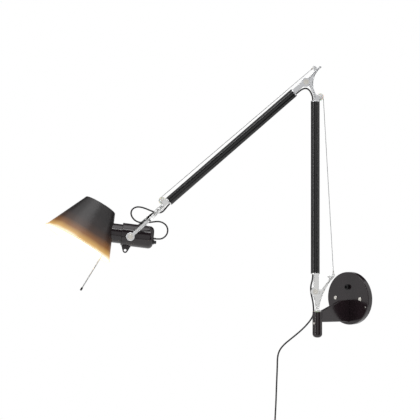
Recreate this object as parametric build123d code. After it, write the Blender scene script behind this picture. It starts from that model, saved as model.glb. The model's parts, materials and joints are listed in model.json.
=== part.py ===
from build123d import *
import math
import os

# Articulating wall lamp.  Millimetres.  The wall is the plane y = 0, the lamp reaches out along -Y,
# +Z is up, and the origin is the centre of the back of the round wall plate.
#
# Local frames: in the arm frame x reaches along the arm, y is across it and z is up.  In the frames of
# the two arms, the fork and the head, z runs along the part, x points to its underside, y is across.
# Heights of the foot and the plate's screws are from the plate's centre, all others from arm_rise.

# ---------------------------------------------------------------- fits and clearances
slide_fit = 0.05
fixed_fit = 0.02
body_gap = 0.3
cut_reach = 60.0

# ---------------------------------------------------------------- wall plate and bracket
plate_radius = 67.0
plate_depth = 15.0
plate_wall = 2.5
mounting_plate_radius = 61.0
mounting_plate_thickness = 3.0
blind_floor = 0.8
wall_hole_radius = 2.6
wall_hole_reach = 24.0
plate_screw_reach = 40.0
plate_screw_radius = 2.0
plate_screw_head_radius = 5.0
plate_screw_head_height = 2.8
rim_screws_at = ((-50.0, -34.0), (57.0, -19.5))
rim_screw_radius = 1.4
rim_screw_head_radius = 2.2
boss_radius = 5.0
bracket_bolt_height = 29.0
bracket_bolt_radius = 3.0
bracket_bolt_head_radius = 6.5
bracket_bolt_head_height = 7.0
foot_thickness = 5.0
foot_half_width = 16.0
foot_top = 38.0
foot_bottom = -61.0
web_thickness = 10.0
web_top = -10.0
web_shoulder = 87.0
web_bottom = -59.0
web_bottom_at_wall = -65.0

barrel_reach = 133.0
arm_rise = 6.0
barrel_radius = 12.0
barrel_top = -33.0
barrel_bottom = -97.0
barrel_bottom_round = 9.0
barrel_bore_radius = 6.5
barrel_bore_depth = 57.0
bush_length = 14.0
bush_flange_radius = 9.0
bush_flange_thickness = 1.5
set_screw_height = -61.0
set_screw_radius = 2.0
set_screw_head_radius = 2.6
spigot_radius = 4.0
spigot_groove_radius = 3.3
spigot_groove_width = 5.0
spigot_end_gap = 2.0

# ---------------------------------------------------------------- pivots and arms
arm_turn = -134.0
shoulder_forward = 5.2
shoulder_height = 17.0
elbow_forward = 23.3
elbow_beyond_tube = 48.6
elbow_turn = 131.0
head_pivot_beyond_tube = 128.0
fork_roll = -7.4
head_turn = -48.5
shade_roll = 14.0

hub_radius = 11.0
hub_thickness = 8.0
washer_thickness = 0.7
cheek_thickness = 4.0
cheek_under = 3.5
cheek_upper = 8.0
cheek_root = 7.0
pivot_bolt_radius = 3.0
pivot_head_radius = 6.5
pivot_head_height = 2.4
pivot_socket_radius = 3.2

tube_radius = 11.0
tube_wall = 1.5
lower_tube_start = 46.0
lower_tube_length = 424.0
upper_tube_start = 41.0
upper_tube_length = 408.0
elbow_height = lower_tube_start + lower_tube_length + elbow_beyond_tube
head_pivot_along = upper_tube_start + upper_tube_length + head_pivot_beyond_tube
plug_length = 16.0
flange_thickness = 2.5

casting_web = 3.2
casting_rim = 1.7
neck_half_width = 3.5
foot_collar_radius = 6.5
foot_collar_height = 3.0
horn_lug_rise = 5.2
horn_lug_radius = 2.6
horn_lug_base = 8.0
shoulder_horn_foot = (-17.2, 6.5)
elbow_horn_foot = (-6.7, 10.6)
elbow_horn_low = (-38.9, 36.9)
elbow_horn_top = (-35.2, 40.7)

pulley_beyond_tube = 12.0
pulley_offset = 12.4
pulley_wrap_radius = 7.6
pulley_flange_radius = 8.8
pulley_width = 5.0
pulley_pin_radius = 1.5
pulley_pin_head_radius = 2.6
pulley_pin_head_height = 0.8
ear_radius = 4.6

rope_radius = 0.8
hook_radius = 3.2
ferrule_radius = 1.7
ferrule_seat = 1.2
ferrule_length = 8.5
lower_hook = (-45.4, 41.6)
upper_hook = (-15.0, -40.0)

spring_radius = 5.0
spring_wire_radius = 0.9
spring_pitch = 4.2
spring_turns = 30
spring_offset = -3.0
spring_seat_gap = 0.1
anchor_radius = 5.4
anchor_height = 6.0

cord_radius = 2.0
cord_hole_radius = 2.3
cord_offset = 6.0

# ---------------------------------------------------------------- head fork
fork_inner = 29.3
fork_thickness = 4.4
fork_half_width = 4.0
fork_arch_centre = -53.0
fork_eye_radius = 10.5
fork_root_radius = 5.5
fork_root_height = 1.5
fork_groove_half_width = 1.9
fork_groove_depth = 0.9
stem_radius = 3.0
stem_length = 18.5
collar_radius = 6.5
collar_length = 9.0
collar_gap = 0.2
socket_radius = 6.0
socket_length = 11.0

# ---------------------------------------------------------------- head
housing_radius = 28.0
housing_wall = 2.2
housing_rear = -58.0
housing_split = -8.0
housing_front = 21.0
housing_rear_round = 11.0
housing_spigot = 5.0
top_boss_radius = 7.0
top_boss_rise = 2.0
top_boss_along = -30.0
pivot_boss_radius = 8.0
pivot_screw_radius = 2.5
pivot_screw_head_radius = 7.0
pivot_screw_head_height = 2.2
pivot_screw_reach = 9.0
lug_hole_radius = 3.4
lug_reach = 39.3
lug_along = 7.5
lug_end_radius = 6.3
lug_thickness = 8.0
lug_rear = -6.5
gland_offset = 1.6
gland_radius = 2.6
gland_tip_radius = 2.4
gland_stem_radius = 2.0
gland_length = 6.0
switch_offset = 10.6
bezel_radius = 5.8
bezel_height = 3.0
bezel_body_radius = 5.2
bezel_body_length = 17.0
button_radius = 4.1
button_gap = 0.3
button_reach = 5.5
button_travel = 2.0
terminal_size = (14.0, 12.0, 16.0)
terminal_offset = -9.5

neck_radius = 24.0
neck_wall = 2.5
neck_start = 5.0
neck_flange_thickness = 3.0

# ---------------------------------------------------------------- shade
shade_top_radius = 41.5
shade_rim_radius = 90.0
shade_height = 110.0
shade_wall = 1.2
shade_top_round = 1.8
shade_lip_radius = 1.5
shade_seat_along = 43.3
shade_slant_to_neck = 48.4
ring_radius = 26.0
ring_front = 56.0
holder_radius = 19.0
holder_start = 8.0
holder_flange_radius = 21.2
holder_flange_thickness = 3.0
bulb_cap_radius = 13.2
bulb_cap_start = 26.0
bulb_radius = 30.0
bulb_along = 113.0
bulb_wall = 0.8
rod_radius = 1.4
rod_start = (24.6, 47.4)
rod_tip = (151.1, 104.1)
bead_radius = 2.4
bead_length = 9.0

# ---------------------------------------------------------------- mains lead
coil_pitch = 5.4
coil_inner_radius = 19.0
coil_centre = (110.0, 0.0, -382.0)
coil_entry_angle = 65.0
coil_layer_turns = (2.0, 2.0, 2.0, 2.68)
tie_thickness = 1.2
tie_width = 7.0
tie_gap = 0.5
relief_length = 18.0
relief_radius = 3.6
plug_size = (13.6, 26.0, 34.0)
plug_round = 5.0
pin_radius = 2.0
pin_spacing = 18.6
pin_length = 19.0
pin_seat = 8.0

# Routes of the free cord, in the arm frame, from point to point.
shoulder_route = (
    (11.2, 0.0, 60.5),
    (11.2, 0.0, 52.0),
    (12.6, -3.4, 43.0),
    (14.6, -8.8, 34.0),
    (15.6, -12.2, 23.5),
    (14.4, -13.4, 11.0),
    (11.4, -13.6, -2.0),
    (8.8, -13.7, -15.5),
    (8.2, -13.8, -28.5),
)
mains_route = (
    (8.2, -13.8, -28.5),
    (7.83, -13.86, -36.5),
    (10.4, -13.6, -46.5),
    (17.4, -12.0, -57.2),
    (29.4, -9.0, -70.6),
    (45.4, -5.0, -85.0),
    (64.3, -2.0, -99.8),
    (82.2, -0.5, -114.0),
    (93.8, 0.0, -128.2),
    (98.9, 0.3, -144.5),
    (99.3, 0.2, -172.0),
    (101.0, -0.5, -212.0),
    (102.3, -2.0, -256.0),
    (104.0, -4.5, -290.0),
    (104.8, -6.8, -312.0),
    (105.0, -7.8, -328.0),
    (105.7, -8.1, -340.6),
    (110.89, -8.1, -349.33),
    (118.99, -8.1, -353.25),
)
elbow_route = (
    (53.58, 0.0, 505.85),
    (45.3, 0.0, 513.05),
    (35.2, 0.0, 519.8),
    (25.8, 0.0, 520.6),
    (18.4, 0.0, 514.6),
    (14.2, 0.0, 506.4),
    (11.4, 0.0, 497.4),
    (11.2, 0.0, 489.55),
)
head_route = (
    (400.94, -6.31, 147.41),
    (391.12, -7.27, 146.16),
    (380.6, -8.0, 149.9),
    (373.0, -8.5, 158.2),
    (370.4, -9.0, 169.4),
    (374.0, -9.0, 180.4),
    (383.0, -8.5, 187.8),
    (394.0, -8.0, 190.8),
    (406.0, -7.5, 189.6),
    (418.0, -7.0, 188.2),
)
arm_end_route = (
    (418.0, -7.0, 188.2),
    (428.0, -6.58, 187.03),
    (440.0, -7.5, 187.8),
    (451.0, -9.5, 191.6),
    (459.6, -12.0, 200.2),
    (463.4, -14.5, 210.8),
    (460.2, -17.0, 220.8),
    (451.0, -19.5, 226.6),
    (439.5, -21.5, 226.6),
    (427.5, -23.0, 223.0),
    (415.5, -23.8, 217.8),
    (404.5, -23.0, 213.8),
    (394.0, -19.0, 211.8),
    (384.7, -12.5, 213.7),
    (378.3, -5.6, 220.2),
    (372.3, -0.8, 227.9),
    (365.75, 0.0, 234.65),
)


# ---------------------------------------------------------------- helpers
def rod(radius, low, high, x=0.0, y=0.0):
    """A round bar along z."""
    return Pos(x, y, (low + high) / 2) * Cylinder(radius, high - low)


def cross_rod(radius, near, far, x=0.0, z=0.0):
    """A round bar along y."""
    return Pos(x, (near + far) / 2, z) * Rot(90, 0, 0) * Cylinder(radius, far - near)


def block(x_range, y_range, z_range):
    """A box between two corners."""
    low = (x_range[0], y_range[0], z_range[0])
    high = (x_range[1], y_range[1], z_range[1])
    centre = [(a + b) / 2 for a, b in zip(low, high)]
    size = [b - a for a, b in zip(low, high)]
    return Pos(*centre) * Box(*size)


def turned(*points):
    """A solid of revolution about z from (radius, height) points."""
    return revolve(make_face(Plane.XZ * Polyline(*points, close=True)), Axis.Z)


def side_plate(face, thickness, offset=0.0):
    """A flat outline in the xz plane given a thickness across y."""
    return Pos(0, offset, 0) * extrude(Plane.XZ * face, thickness / 2, both=True)


def outline(*edges):
    """A face from edges drawn in (x, z)."""
    return make_face(Curve() + list(edges))


def mirrored(shape):
    """The same shape on the other side of the xz plane."""
    return mirror(shape, about=Plane.XZ)


def tangent_point(point, centre, radius, side):
    """Where a line from the point touches the circle, in (x, z)."""
    dx = point[0] - centre[0]
    dz = point[1] - centre[1]
    away = math.hypot(dx, dz)
    turn = side * math.acos(radius / away)
    base = math.atan2(dz, dx)
    return (centre[0] + radius * math.cos(base + turn), centre[1] + radius * math.sin(base + turn))


def tube_on(path, radius):
    """A round section swept along a path."""
    return sweep(Plane(origin=path @ 0, z_dir=path % 0) * Circle(radius), path=path)


def cord_solid(name, route, radius):
    """A tube of straight runs joined by tangent arcs, each as large as its runs allow."""
    points = [Vector(*p) for p in route]
    runs = [(b - a).length for a, b in zip(points, points[1:])]
    turns = [(b - a).get_angle(c - b) for a, b, c in zip(points, points[1:], points[2:])]
    radii = [0.45 * min(runs[i], runs[i + 1]) / math.tan(math.radians(t) / 2) for i, t in enumerate(turns)]
    path = FilletPolyline(*points, radius=radii)
    solid = tube_on(path, radius)
    expected = math.pi * radius**2 * path.length
    print(f"{name}: length {path.length:.1f}, radii {[round(r) for r in radii]}")
    print(f"{name}: volume over section times length {solid.volume / expected:.4f}")
    return solid


def biarc(start, start_dir, end, end_dir):
    """Two tangent arcs from one point and direction to another."""
    span = end - start
    both = start_dir + end_dir
    spread = 2 * (1 - start_dir.dot(end_dir))
    reach = (-span.dot(both) + math.sqrt(span.dot(both) ** 2 + spread * span.dot(span))) / spread
    first = start + start_dir * reach
    second = end - end_dir * reach
    middle = (first + second) * 0.5
    return [
        TangentArc(start, middle, tangent=start_dir),
        TangentArc(middle, end, tangent=second - first),
    ]


def winding(name, place, turns, radius, steps_per_turn, lead=0.0):
    """One unbroken tube whose centre line is place(turns), with straight ends."""
    count = round(turns * steps_per_turn)
    step = 1e-4
    stations = [place(turns * i / count) for i in range(count + 1)]
    directions = []
    for i in range(count + 1):
        at = turns * i / count
        directions.append((place(at + step) - place(at - step)).normalized())
    edges = []
    for i in range(count):
        edges += biarc(stations[i], directions[i], stations[i + 1], directions[i + 1])
    if lead:
        edges.insert(0, Line(stations[0] - directions[0] * lead, stations[0]))
        edges.append(Line(stations[-1], stations[-1] + directions[-1] * lead))
    path = Wire([e.edge() for e in edges])
    samples = [place(turns * i / (count * 6)) for i in range(count * 6 + 1)]
    apart = round(0.6 * steps_per_turn * 6)
    least = min(
        (a - b).length for i, a in enumerate(samples) for b in samples[i + apart:]
    )
    print(f"{name}: length {path.length:.1f}, least gap to itself {least - 2 * radius:.2f}")
    return tube_on(path, radius)


# ---------------------------------------------------------------- frames
barrel_frame = Pos(0, -barrel_reach, arm_rise)
arm_frame = barrel_frame * Rot(0, 0, arm_turn)
lower_frame = arm_frame * Pos(shoulder_forward, 0, shoulder_height)
upper_frame = lower_frame * Pos(elbow_forward, 0, elbow_height) * Rot(0, elbow_turn, 0)
fork_frame = upper_frame * Pos(0, 0, head_pivot_along) * Rot(0, 0, fork_roll)
head_frame = fork_frame * Rot(0, head_turn, 0)
shade_frame = head_frame * Rot(0, 0, shade_roll)
wall_frame = Rot(90, 0, 0)

parts = {}


def add(name, frame, *solids):
    """Keep a node's solids, placed in the lamp's frame."""
    parts[name] = [frame * s for s in solids]


# ---------------------------------------------------------------- wall plate
# In the wall frame x is across the wall, y is up and z comes out of the wall.
plate_inside = plate_depth - plate_wall
foot_back = plate_inside - foot_thickness


def build_wall_plate():
    cover = Pos(0, 0, plate_depth / 2) * Cylinder(plate_radius, plate_depth)
    front_edge = cover.edges().filter_by(GeomType.CIRCLE).sort_by(Axis.Z)[-1]
    cover = fillet(front_edge, 2.2)
    cover -= rod(plate_radius - plate_wall, -1, plate_inside)
    slot_top = web_top + arm_rise + 0.2
    slot_bottom = web_bottom_at_wall + arm_rise - 0.2
    half = web_thickness / 2 + 0.2
    cover -= block((-half, half), (slot_bottom, slot_top), (plate_inside - 1, plate_depth + 1))
    for side in (-1, 1):
        cover -= rod(plate_screw_radius + 0.2, 0, plate_depth + 1, side * plate_screw_reach, 0)
    for across, up in rim_screws_at:
        cover -= rod(rim_screw_radius + 0.1, 0, plate_depth + 1, across, up)
    cover -= rod(bracket_bolt_radius + 0.2, 0, plate_depth + 1, 0, bracket_bolt_height)
    add("wall_plate", wall_frame, cover)


def build_mounting_plate():
    plate = rod(mounting_plate_radius, 0, mounting_plate_thickness)
    for side in (-1, 1):
        plate += rod(boss_radius, 0, plate_inside, side * plate_screw_reach, 0)
    for across, up in rim_screws_at:
        plate += rod(rim_screw_radius + 1.4, 0, plate_inside, across, up)
        plate -= rod(rim_screw_radius + fixed_fit, 2, plate_depth, across, up)
    plate += rod(boss_radius + 1, 0, foot_back, 0, bracket_bolt_height)
    plate += rod(boss_radius + 1, 0, foot_back, 0, foot_bottom + 12)
    for side in (-1, 1):
        plate -= rod(plate_screw_radius + fixed_fit, blind_floor, plate_depth, side * plate_screw_reach, 0)
        plate -= rod(wall_hole_radius, -1, plate_depth, side * wall_hole_reach, 0)
    plate -= rod(bracket_bolt_radius + fixed_fit, blind_floor, plate_depth, 0, bracket_bolt_height)
    add("mounting_plate", wall_frame, plate)


def slotted_screw(radius, length, head_radius, head_height, slot=0.9):
    """A round-headed screw; its head stands on z = 0 and its shank goes to -length."""
    head = rod(head_radius, 0, head_height)
    top_edge = head.edges().filter_by(GeomType.CIRCLE).sort_by(Axis.Z)[-1]
    head = fillet(top_edge, head_height * 0.6)
    width = slot / 2
    head -= block((-head_radius, head_radius), (-width, width), (head_height * 0.55, head_height + 1))
    return head + rod(radius, -length, 0.1)


def hex_bolt(radius, length, head_radius, head_height):
    """A socket-head bolt standing on z = 0."""
    head = rod(head_radius, 0, head_height)
    top_edge = head.edges().filter_by(GeomType.CIRCLE).sort_by(Axis.Z)[-1]
    head = fillet(top_edge, 1.2)
    socket = extrude(RegularPolygon(head_radius * 0.55, 6), head_height * 0.6)
    head -= Pos(0, 0, head_height * 0.4 + 0.01) * socket
    return head + rod(radius, -length, 0.1)


def build_plate_screws():
    screw = slotted_screw(plate_screw_radius, 12.0, plate_screw_head_radius, plate_screw_head_height)
    small = slotted_screw(rim_screw_radius, 10.0, rim_screw_head_radius, 1.2, 0.6)
    sides = (-1, 1)
    add("plate_screws", wall_frame, *[Pos(s * plate_screw_reach, 0, plate_depth) * screw for s in sides])
    seats = [Pos(across, up, plate_depth) for across, up in rim_screws_at]
    add("rim_screws", wall_frame, *[seat * small for seat in seats])
    shank = plate_depth - blind_floor - 0.4
    bolt = hex_bolt(bracket_bolt_radius, shank, bracket_bolt_head_radius, bracket_bolt_head_height)
    add("bracket_bolt", wall_frame, Pos(0, bracket_bolt_height, plate_depth) * bolt)


def build_wall_bracket():
    """Foot, web and barrel in one casting, in the barrel's frame, where y points to the wall."""
    barrel = rod(barrel_radius, barrel_bottom, barrel_top)
    low_edge = barrel.edges().filter_by(GeomType.CIRCLE).sort_by(Axis.Z)[0]
    barrel = fillet(low_edge, barrel_bottom_round)
    foot_near = barrel_reach - plate_inside
    foot_far = barrel_reach - foot_back
    web_points = (
        (4.0, barrel_top),
        (barrel_radius, barrel_top),
        (web_shoulder, web_top),
        (foot_far, web_top),
        (foot_far, web_bottom_at_wall),
        (4.0, web_bottom),
    )
    web_face = make_face(Plane.YZ * Polyline(*web_points, close=True))
    web = extrude(web_face, web_thickness / 2, both=True)
    long_edges = web.edges().filter_by(Plane.YZ).filter_by(lambda e: e.length > 40)
    web = fillet(long_edges, 1.2)
    foot_heights = (foot_bottom - arm_rise, foot_top - arm_rise)
    foot = block((-foot_half_width, foot_half_width), (foot_near, foot_far), foot_heights)
    bracket = barrel + web + foot
    bore_bottom = barrel_top - barrel_bore_depth
    bracket -= rod(barrel_bore_radius, bore_bottom, barrel_top + 1)
    bolt_hole = Rot(90, 0, 0) * Cylinder(bracket_bolt_radius + fixed_fit, 40)
    bracket -= Pos(0, foot_far, bracket_bolt_height - arm_rise) * bolt_hole
    screw_hole = Rot(90, 0, 0) * Cylinder(set_screw_radius + fixed_fit, barrel_radius * 2)
    bracket -= Pos(0, -barrel_radius, set_screw_height) * screw_hole
    add("wall_bracket", barrel_frame, bracket)

    flange_top = barrel_top + bush_flange_thickness
    outer = barrel_bore_radius - fixed_fit
    inner = spigot_radius + slide_fit
    top_bush = rod(bush_flange_radius, barrel_top, flange_top)
    top_bush += rod(outer, barrel_top - bush_length, flange_top)
    top_bush -= rod(inner, barrel_bottom, 0)
    low_bush = rod(outer, bore_bottom, bore_bottom + bush_length)
    low_bush -= rod(inner, barrel_bottom, 0)
    add("barrel_bushes", barrel_frame, top_bush, low_bush)

    reach_in = barrel_radius - spigot_groove_radius - body_gap
    screw = slotted_screw(set_screw_radius, reach_in, set_screw_head_radius, 1.2, 0.6)
    seat = barrel_frame * Pos(0, -barrel_radius, set_screw_height) * wall_frame
    add("barrel_set_screw", seat, screw)


# ---------------------------------------------------------------- castings
def eye(x, z):
    """The pivot boss of a casting."""
    return cross_rod(hub_radius, -hub_thickness / 2, hub_thickness / 2, x, z)


def ribbed(face, thickness):
    """A plate with a raised rim on both faces, as a light casting has."""
    plate = side_plate(face, thickness)
    pocket_face = offset(face, -casting_rim, kind=Kind.INTERSECTION)
    depth = (thickness - casting_web) / 2
    for side in (-1, 1):
        plate -= side_plate(pocket_face, depth, side * (casting_web + depth) / 2)
    return plate


def along_line(start, end, share):
    """A point part of the way between two."""
    return tuple(a + (b - a) * share for a, b in zip(start, end))


def horn_lug(start, end, share, rise):
    """A small rounded hook standing on the straight edge of a horn."""
    run = math.dist(start, end)
    reach = horn_lug_base / 2 / run
    foot = along_line(start, end, share)
    normal = ((start[1] - end[1]) / run, (end[0] - start[0]) / run)
    top = (foot[0] + normal[0] * rise, foot[1] + normal[1] * rise)
    edges = [
        (Pos(*top) * Circle(horn_lug_radius)).edge(),
        Line(along_line(start, end, share - reach), along_line(start, end, share + reach)).edge(),
    ]
    return side_plate(make_hull(edges), hub_thickness * 0.6)


def rope_frame(hook, tube_start, tube_length):
    """Where a rope leaves its hook, with z along the rope to the outside of the far pulley."""
    wheel = (-pulley_offset, tube_start + tube_length + pulley_beyond_tube)
    outside = tangent_point(hook, wheel, pulley_wrap_radius, -1)
    lean = math.degrees(math.atan2(outside[0] - hook[0], outside[1] - hook[1]))
    return Pos(hook[0], 0, hook[1]) * Rot(0, lean, 0)


def hook_boss(place):
    """The round end of a horn or hook, bored along the rope for its ferrule."""
    boss = cross_rod(hook_radius, -hub_thickness / 2, hub_thickness / 2)
    return place * boss, place * rod(ferrule_radius + fixed_fit, ferrule_seat, ferrule_length * 2)


def build_shoulder_casting():
    """Spigot, leg, eye and horn; the horn's back edge is one arc from the barrel to its tip."""
    cx = shoulder_forward
    cz = shoulder_height
    leg_foot = barrel_top + bush_flange_thickness + foot_collar_height
    horn_foot = (cx + shoulder_horn_foot[0], cz + shoulder_horn_foot[1])
    tip_top = (cx + lower_hook[0] + 1.0, cz + lower_hook[1] + 2.0)
    tip_low = (cx + lower_hook[0] - 4.2, cz + lower_hook[1] - 2.0)
    front = Polyline(
        tip_low,
        tip_top,
        horn_foot,
        (cx - 8.0, cz + 3.0),
        (cx + 8.0, cz - 4.0),
        (cx + 0.8, cz - 24.0),
        (neck_half_width, leg_foot),
        (-neck_half_width, leg_foot),
    )
    back = ThreePointArc((-neck_half_width, leg_foot), (cx - 21.2, cz - 1.5), tip_low)
    casting = ribbed(outline(front, back), hub_thickness)
    casting += horn_lug(tip_top, horn_foot, 0.26, horn_lug_rise)
    casting += eye(cx, cz)
    casting += rod(foot_collar_radius, barrel_top + bush_flange_thickness, leg_foot)
    spigot_low = barrel_top - barrel_bore_depth + spigot_end_gap
    spigot = rod(spigot_radius, spigot_low, barrel_top + bush_flange_thickness + 1)
    groove_low = set_screw_height - spigot_groove_width / 2
    groove = rod(spigot_radius + 1, groove_low, groove_low + spigot_groove_width)
    groove -= rod(spigot_groove_radius, groove_low - 1, groove_low + spigot_groove_width + 1)
    casting += spigot - groove
    casting -= cross_rod(pivot_bolt_radius + slide_fit, -cut_reach, cut_reach, cx, cz)
    hook = Pos(cx, 0, cz) * rope_frame(lower_hook, lower_tube_start, lower_tube_length)
    boss, bore = hook_boss(hook)
    add("shoulder_casting", arm_frame, casting + boss - bore)
    ferrule = rod(ferrule_radius, ferrule_seat, ferrule_seat + ferrule_length)
    add("lower_rope_ferrule", arm_frame * hook, ferrule)


def tube_plug(start, end):
    """The spigot that fits in a tube, between two heights."""
    return rod(tube_radius - tube_wall - fixed_fit, start, end)


def pulley_ears(tube_end):
    """Two thin cheeks that carry the pulley beside a fitting's bar."""
    centre_z = tube_end + pulley_beyond_tube
    base = tube_end + flange_thickness - 0.5
    inner = pulley_width / 2 + body_gap
    thickness = hub_thickness / 2 - inner
    face = outline(
        Polyline(
            (-pulley_offset, centre_z + ear_radius),
            (0.0, centre_z + ear_radius + 1.0),
            (0.0, base),
            (-6.0, base),
            (-pulley_offset - 1.5, centre_z - ear_radius + 0.4),
            (-pulley_offset, centre_z + ear_radius),
        )
    )
    ears = Part()
    for side in (-1, 1):
        middle = side * (inner + thickness / 2)
        ear = side_plate(face, thickness, middle)
        low = middle - thickness / 2
        ear += cross_rod(ear_radius, low, low + thickness, -pulley_offset, centre_z)
        ear -= cross_rod(pulley_pin_radius + fixed_fit, -cut_reach, cut_reach, -pulley_offset, centre_z)
        ears += ear
    return ears


def pulley_room(tube_end):
    """The space in which the pulley turns."""
    half = pulley_width / 2 + body_gap
    radius = pulley_flange_radius + body_gap
    return cross_rod(radius, -half, half, -pulley_offset, tube_end + pulley_beyond_tube)


def build_pulley(name, frame, tube_end):
    """A grooved rope wheel on its pin."""
    centre = Pos(-pulley_offset, 0, tube_end + pulley_beyond_tube) * Rot(90, 0, 0)
    half = pulley_width / 2
    groove = pulley_wrap_radius - rope_radius - body_gap
    bore = pulley_pin_radius + slide_fit
    wheel = turned(
        (bore, -half),
        (pulley_flange_radius, -half),
        (pulley_flange_radius, -half + 0.8),
        (groove, -1.0),
        (groove, 1.0),
        (pulley_flange_radius, half - 0.8),
        (pulley_flange_radius, half),
        (bore, half),
    )
    add(name + "_pulley", frame * centre, wheel)
    reach = hub_thickness / 2
    pin = rod(pulley_pin_radius, -reach, reach)
    for side in (-1, 1):
        low = min(side * reach, side * (reach + pulley_pin_head_height))
        pin += rod(pulley_pin_head_radius, low, low + pulley_pin_head_height)
    add(name + "_pulley_pin", frame * centre, pin)


def fitting_base(tube_end):
    """Plug and flange at the far end of a tube, with its holes for cord and rope."""
    flange_top = tube_end + flange_thickness
    base = tube_plug(tube_end - plug_length, tube_end + 0.5) + rod(tube_radius, tube_end, flange_top)
    base -= rod(cord_hole_radius, 0, flange_top + 1, cord_offset, 0)
    rope_x = -(pulley_offset - pulley_wrap_radius)
    base -= rod(rope_radius + 0.8, 0, flange_top + 1, rope_x + 0.2, 0)
    return base


def build_elbow_casting():
    """Plug, leg, eye and horn at the top of the lower arm."""
    ex = elbow_forward
    ez = elbow_height
    tube_end = lower_tube_start + lower_tube_length
    flange_top = tube_end + flange_thickness
    back_x = -(pulley_offset - pulley_flange_radius) + 0.5
    tip_low = (ex + elbow_horn_low[0], ez + elbow_horn_low[1])
    tip_top = (ex + elbow_horn_top[0], ez + elbow_horn_top[1])
    horn_foot = (ex + elbow_horn_foot[0], ez + elbow_horn_foot[1])
    front = Polyline(
        tip_low,
        tip_top,
        horn_foot,
        (ex + 2.0, ez),
        (ex - 8.4, ez - 8.6),
        (ex - 14.9, ez - 22.6),
        (ex - 19.6, ez - 36.0),
        (2.8, flange_top - 0.2),
        (back_x, flange_top - 0.2),
        (back_x, tube_end + pulley_beyond_tube + 4.0),
    )
    back = ThreePointArc(
        (back_x, tube_end + pulley_beyond_tube + 4.0),
        (ex - 18.1, ez - 2.6),
        tip_low,
    )
    casting = ribbed(outline(front, back), hub_thickness)
    casting += eye(ex, ez)
    casting += fitting_base(tube_end)
    casting += pulley_ears(tube_end)
    casting -= cross_rod(pivot_bolt_radius + slide_fit, -cut_reach, cut_reach, ex, ez)
    casting -= pulley_room(tube_end)
    turn = Pos(ex, 0, ez) * Rot(0, elbow_turn, 0)
    hook = turn * rope_frame(upper_hook, upper_tube_start, upper_tube_length)
    lug_edges = [
        (Pos(hook.position.X, hook.position.Z) * Circle(hook_radius)).edge(),
        Line(along_line(tip_top, horn_foot, 0.22), along_line(tip_top, horn_foot, 0.48)).edge(),
    ]
    casting += side_plate(make_hull(lug_edges), hub_thickness * 0.7)
    boss, bore = hook_boss(hook)
    add("elbow_casting", lower_frame, casting + boss - bore)
    ferrule = rod(ferrule_radius, ferrule_seat, ferrule_seat + ferrule_length)
    add("upper_rope_ferrule", lower_frame * hook, ferrule)


def build_arm_end_fitting():
    """Plug, pulley cheeks and the socket in which the head fork turns."""
    tube_end = upper_tube_start + upper_tube_length
    flange_top = tube_end + flange_thickness
    fork_back = fork_arch_centre - fork_inner - fork_thickness - fork_root_height
    socket_top = head_pivot_along + fork_back - collar_gap - collar_length - body_gap
    socket_low = socket_top - socket_length
    half = -(-pulley_offset + pulley_flange_radius) - 0.5
    bar = block((-half, half), (-hub_thickness / 2, hub_thickness / 2), (flange_top - 0.5, socket_low + 1))
    fitting = fitting_base(tube_end) + bar + pulley_ears(tube_end)
    fitting += rod(socket_radius, socket_low, socket_top)
    fitting -= rod(stem_radius + slide_fit, socket_low + 1.0, socket_top + 1)
    fitting -= pulley_room(tube_end)
    add("arm_end_fitting", upper_frame, fitting)


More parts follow.
